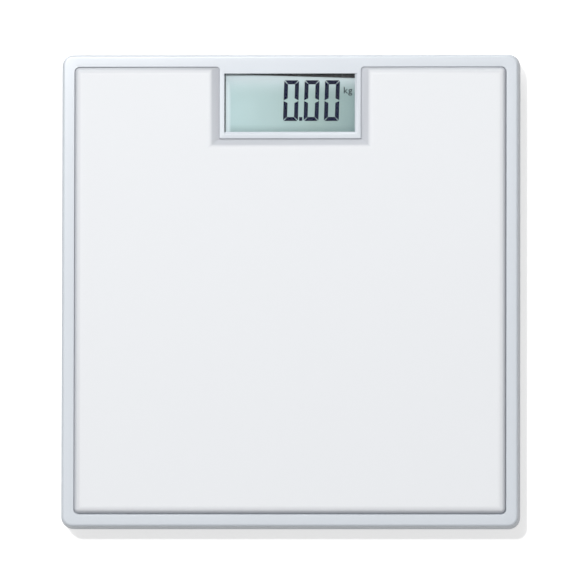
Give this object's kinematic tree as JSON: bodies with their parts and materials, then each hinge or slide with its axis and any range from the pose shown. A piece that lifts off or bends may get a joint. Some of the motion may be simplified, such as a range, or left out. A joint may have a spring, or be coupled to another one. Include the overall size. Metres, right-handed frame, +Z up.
{
  "type": "bathroom scale",
  "caption": "Flat electronic bathroom scale: rimmed white platform with a rubber tread and a recessed digital display, on feet that press load cells.",
  "frame": {"origin": "on the floor, under the middle of the platform", "axes": "+Z up, +Y towards the edge by the display, +X to the right of someone standing on the scale and facing the display"},
  "size_m": [0.315, 0.326, 0.035],
  "materials": {
    "pearl_abs": "satin moulded ABS with a faint pearl",
    "tread_rubber": "fine matt grain",
    "clear_acrylic": "clear, polished",
    "panel_glass": "grey-green reflective liquid-crystal glass",
    "black_foam": "matt closed-cell foam",
    "natural_abs": "as moulded",
    "grey_rubber": "matt",
    "board_laminate": "solder mask",
    "black_epoxy": "moulded",
    "nickel_plate": "bright nickel",
    "printed_sleeve": "shrunk sleeve",
    "zinc_steel": "zinc plated",
    "cell_steel": "stamped alloy steel",
    "white_silicone": "smooth",
    "base_abs": "fine spark texture",
    "black_rubber": "matt",
    "grey_pvc": "extruded sleeve",
    "red_pvc": "extruded sleeve",
    "black_pvc": "extruded sleeve"
  },
  "bodies": {
    "housing": {"platform_frame": "pearl_abs", "tread_mat": "tread_rubber", "display_window": "clear_acrylic", "lcd_gasket": "black_foam", "lcd_panel": "panel_glass", "lcd_holder": "natural_abs", "zebra_strip_rear": "grey_rubber", "zebra_strip_front": "grey_rubber", "circuit_board": "board_laminate", "controller_chip": "black_epoxy", "crystal_can": "nickel_plate", "capacitor": "printed_sleeve", "tact_switch": "black_epoxy", "chassis_plate": "zinc_steel", "base_cover": "base_abs", "load_cell_front_left": "cell_steel", "gauge_coat_front_left": "white_silicone", "cell_holder_front_left": "natural_abs", "cell_lead_front_left": "grey_pvc", "load_cell_front_right": "cell_steel", "gauge_coat_front_right": "white_silicone", "cell_holder_front_right": "natural_abs", "cell_lead_front_right": "grey_pvc", "load_cell_rear_left": "cell_steel", "gauge_coat_rear_left": "white_silicone", "cell_holder_rear_left": "natural_abs", "cell_lead_rear_left": "grey_pvc", "load_cell_rear_right": "cell_steel", "gauge_coat_rear_right": "white_silicone", "cell_holder_rear_right": "natural_abs", "cell_lead_rear_right": "grey_pvc", "base_screw_1": "zinc_steel", "base_screw_2": "zinc_steel", "base_screw_3": "zinc_steel", "base_screw_4": "zinc_steel", "base_screw_5": "zinc_steel", "base_screw_6": "zinc_steel", "battery_1": "printed_sleeve", "battery_2": "printed_sleeve", "battery_3": "printed_sleeve", "battery_4": "printed_sleeve", "contact_positive": "nickel_plate", "contact_link_1": "nickel_plate", "contact_link_2": "nickel_plate", "contact_link_3": "nickel_plate", "contact_negative": "nickel_plate", "battery_lead_positive": "red_pvc", "battery_lead_negative": "black_pvc"},
    "foot_front_left": {"foot_front_left": "natural_abs", "foot_pad_front_left": "black_rubber"},
    "foot_front_right": {"foot_front_right": "natural_abs", "foot_pad_front_right": "black_rubber"},
    "foot_rear_left": {"foot_rear_left": "natural_abs", "foot_pad_rear_left": "black_rubber"},
    "foot_rear_right": {"foot_rear_right": "natural_abs", "foot_pad_rear_right": "black_rubber"},
    "unit_button": {"unit_button": "grey_rubber", "switch_plunger": "black_epoxy"},
    "battery_door": {"battery_door": "base_abs"}
  },
  "joints": [
    {"name": "foot_front_left_travel", "type": "slide", "parent": "housing", "child": "foot_front_left", "axis": [0, 0, 1], "range_m": [0, 0.0006], "stiffness_N_per_m": 5000, "springref_m": -0.004, "deforming": ["load_cell_front_left", "gauge_coat_front_left"]},
    {"name": "foot_front_right_travel", "type": "slide", "parent": "housing", "child": "foot_front_right", "axis": [0, 0, 1], "range_m": [0, 0.0006], "stiffness_N_per_m": 5000, "springref_m": -0.004, "deforming": ["load_cell_front_right", "gauge_coat_front_right"]},
    {"name": "foot_rear_left_travel", "type": "slide", "parent": "housing", "child": "foot_rear_left", "axis": [0, 0, 1], "range_m": [0, 0.0006], "stiffness_N_per_m": 5000, "springref_m": -0.004, "deforming": ["load_cell_rear_left", "gauge_coat_rear_left"]},
    {"name": "foot_rear_right_travel", "type": "slide", "parent": "housing", "child": "foot_rear_right", "axis": [0, 0, 1], "range_m": [0, 0.0006], "stiffness_N_per_m": 5000, "springref_m": -0.004, "deforming": ["load_cell_rear_right", "gauge_coat_rear_right"]},
    {"name": "unit_button_press", "type": "slide", "parent": "housing", "child": "unit_button", "axis": [0, 0, 1], "range_m": [0, 0.0008], "stiffness_N_per_m": 500, "springref_m": -0.002},
    {"name": "battery_door_hinge", "type": "hinge", "parent": "housing", "child": "battery_door", "pos_m": [0, -0.0001, 0.0077], "axis": [-1, 0, 0], "range_deg": [0, 85]}
  ]
}
